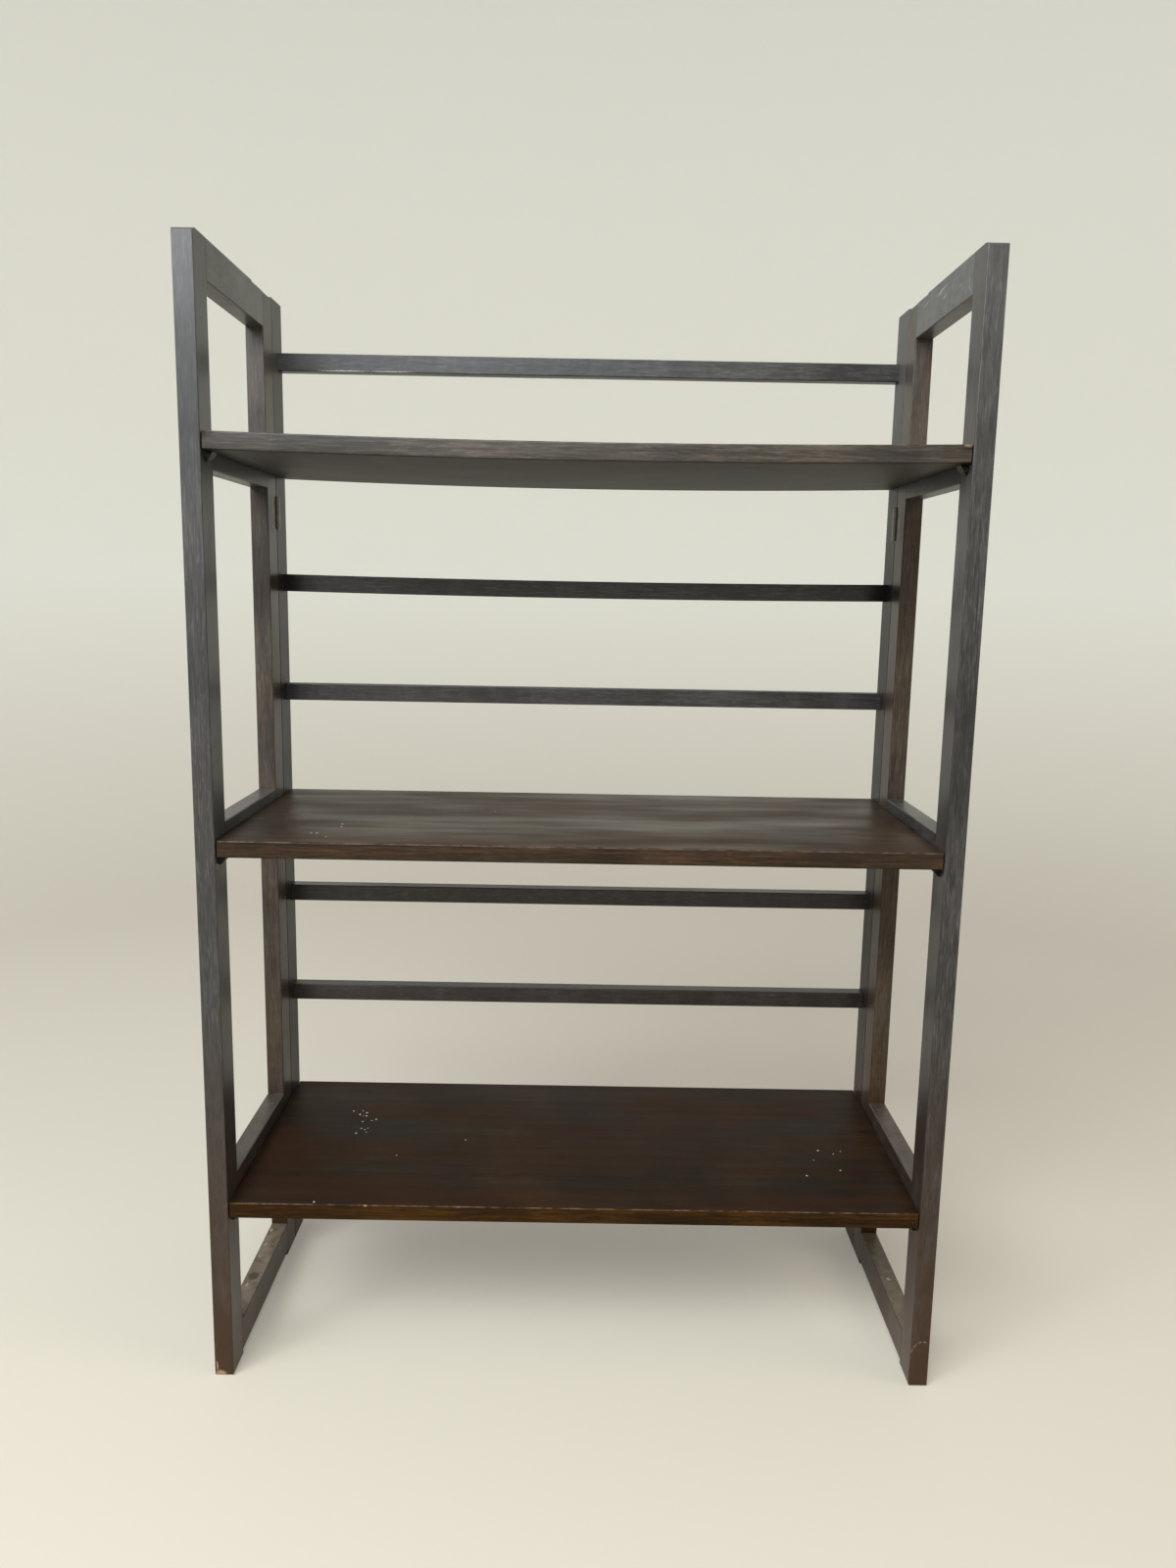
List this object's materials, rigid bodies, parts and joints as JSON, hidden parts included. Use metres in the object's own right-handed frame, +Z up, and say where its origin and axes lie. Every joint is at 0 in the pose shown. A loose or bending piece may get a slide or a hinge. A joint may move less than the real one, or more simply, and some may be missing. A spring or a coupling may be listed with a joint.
{
  "type": "folding shelf",
  "caption": "Free-standing folding shelf of dark-stained wood, with ladder side frames hinged to a slatted back frame and shelves that swing up on pins.",
  "frame": {"origin": "centre of the footprint, on the floor that the posts stand on", "axes": "+X towards the unit's right side as seen from its front, +Y towards its slatted back, +Z up"},
  "size_m": [0.8, 0.324, 1.2135],
  "materials": {
    "frame_wood": "dark brown stain under semi-gloss lacquer",
    "shelf_wood": "warm dark brown stain under semi-gloss lacquer",
    "beech_dowel": "bare beech",
    "hinge_metal": "dark bronzed steel",
    "screw_metal": "dark bronzed steel, cross-recessed heads",
    "steel_pin": "bright turned steel"
  },
  "bodies": {
    "back_frame": {"left_stile": "frame_wood", "left_hinge_back_leaves": "hinge_metal", "left_hinge_back_screws": "screw_metal", "left_hinge_pins": "hinge_metal", "right_stile": "frame_wood", "right_hinge_back_leaves": "hinge_metal", "right_hinge_back_screws": "screw_metal", "right_hinge_pins": "hinge_metal", "top_slat": "frame_wood", "fourth_slat": "frame_wood", "third_slat": "frame_wood", "second_slat": "frame_wood", "bottom_slat": "frame_wood", "slat_dowels": "beech_dowel", "shelf_pivot_pins": "steel_pin"},
    "left_side_frame": {"left_front_post": "frame_wood", "left_back_post": "frame_wood", "left_top_rail": "frame_wood", "left_upper_rail": "frame_wood", "left_middle_rail": "frame_wood", "left_lower_rail": "frame_wood", "left_floor_rail": "frame_wood", "left_dowels": "beech_dowel", "left_shelf_pegs": "frame_wood", "left_hinge_side_leaves": "hinge_metal", "left_hinge_side_screws": "screw_metal"},
    "right_side_frame": {"right_front_post": "frame_wood", "right_back_post": "frame_wood", "right_top_rail": "frame_wood", "right_upper_rail": "frame_wood", "right_middle_rail": "frame_wood", "right_lower_rail": "frame_wood", "right_floor_rail": "frame_wood", "right_dowels": "beech_dowel", "right_shelf_pegs": "frame_wood", "right_hinge_side_leaves": "hinge_metal", "right_hinge_side_screws": "screw_metal"},
    "top_shelf_board": {"top_shelf": "shelf_wood"},
    "middle_shelf_board": {"middle_shelf": "shelf_wood"},
    "bottom_shelf_board": {"bottom_shelf": "shelf_wood"}
  },
  "joints": [
    {"name": "left_side_fold", "type": "hinge", "parent": "back_frame", "child": "left_side_frame", "pos_m": [-0.3777, 0.11725, 0.9629], "axis": [0, 0, 1], "range_deg": [0, 0.2]},
    {"name": "right_side_fold", "type": "hinge", "parent": "back_frame", "child": "right_side_frame", "pos_m": [0.3777, 0.11725, 0.9629], "axis": [0, 0, -1], "range_deg": [0, 0.2]},
    {"name": "top_shelf_lift", "type": "hinge", "parent": "back_frame", "child": "top_shelf_board", "pos_m": [0, 0.1295, 1.016], "axis": [-1, 0, 0], "range_deg": [0, 90]},
    {"name": "middle_shelf_lift", "type": "hinge", "parent": "back_frame", "child": "middle_shelf_board", "pos_m": [0, 0.1295, 0.605], "axis": [-1, 0, 0], "range_deg": [0, 90]},
    {"name": "bottom_shelf_lift", "type": "hinge", "parent": "back_frame", "child": "bottom_shelf_board", "pos_m": [0, 0.1295, 0.2], "axis": [-1, 0, 0], "range_deg": [0, 90]}
  ]
}
